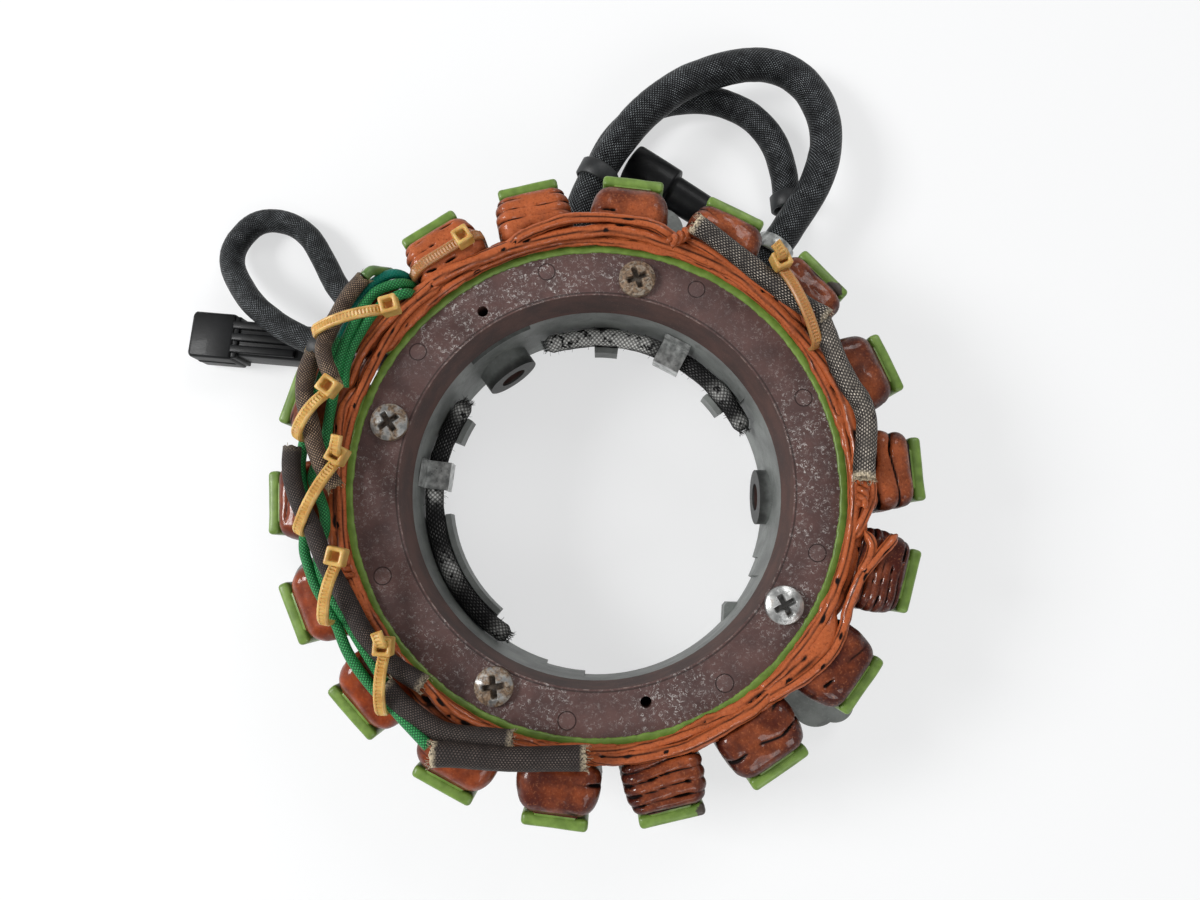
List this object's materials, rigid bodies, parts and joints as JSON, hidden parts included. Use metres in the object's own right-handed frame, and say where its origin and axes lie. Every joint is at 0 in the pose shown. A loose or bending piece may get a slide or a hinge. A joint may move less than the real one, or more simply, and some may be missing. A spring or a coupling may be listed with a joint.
{
  "type": "wound stator",
  "caption": "Ring stator with wound, green-coated poles on a cast carrier, sleeved and tied leads, and braided harness loops ending in black connectors.",
  "frame": {"origin": "on the bore axis, in the plane of the carrier's foot", "axes": "+Z along the bore axis, from the carrier's foot to the open face of the core"},
  "size_m": [0.2051, 0.2232, 0.066],
  "materials": {
    "core": "dull lacquer, flecked",
    "coat": "gloss powder coat",
    "screw": "plated, part rusted",
    "casting": "satin casting",
    "winding": "varnished copper wire",
    "braid": "woven sleeve",
    "clip": "bright strip",
    "sleeve": "woven glass sleeve",
    "lead_green": "woven green cover",
    "lead_teal": "smooth insulation",
    "lead_olive": "woven cover",
    "tie": "amber nylon",
    "grommet": "matt",
    "band": "shrunk tube",
    "connector": "moulded"
  },
  "bodies": {
    "root": {"core_stack": "core", "pole_coating": "coat", "core_rivets": "core", "mounting_screws": "screw", "carrier_ring": "casting", "coil_01": "winding", "coil_02": "winding", "coil_03": "winding", "coil_04": "winding", "coil_05": "winding", "coil_06": "winding", "coil_07": "winding", "coil_08": "winding", "coil_09": "winding", "coil_10": "winding", "coil_11": "winding", "coil_12": "winding", "coil_13": "winding", "coil_14": "winding", "coil_15": "winding", "coil_16": "winding", "coil_17": "winding", "coil_18": "winding", "bore_cable_right": "braid", "bore_cable_left": "braid", "cable_clips": "clip", "link_wire_inner": "winding", "link_wire_upper": "winding", "link_wire_lower": "winding", "sleeve_right_long": "sleeve", "sleeve_right_short": "sleeve", "sleeve_bottom_outer": "sleeve", "sleeve_bottom_inner": "sleeve", "sleeve_left_upper": "sleeve", "sleeve_left_middle": "sleeve", "sleeve_left_lower": "sleeve", "lead_outer": "lead_green", "lead_inner": "lead_teal", "lead_olive": "lead_olive", "coil_tie": "tie", "cable_tie_1": "tie", "cable_tie_2": "tie", "cable_tie_3": "tie", "cable_tie_4": "tie", "cable_tie_5": "tie", "cable_tie_6": "tie", "cable_grommets": "grommet", "left_harness_cord": "braid", "left_harness_band": "band", "left_harness_tail": "band", "left_connector": "connector", "top_harness_cord": "braid", "top_harness_band": "band", "top_harness_ferrule": "clip", "low_harness_cord": "braid", "low_harness_band": "band", "low_harness_tail": "band", "top_connector": "connector"}
  },
  "joints": []
}
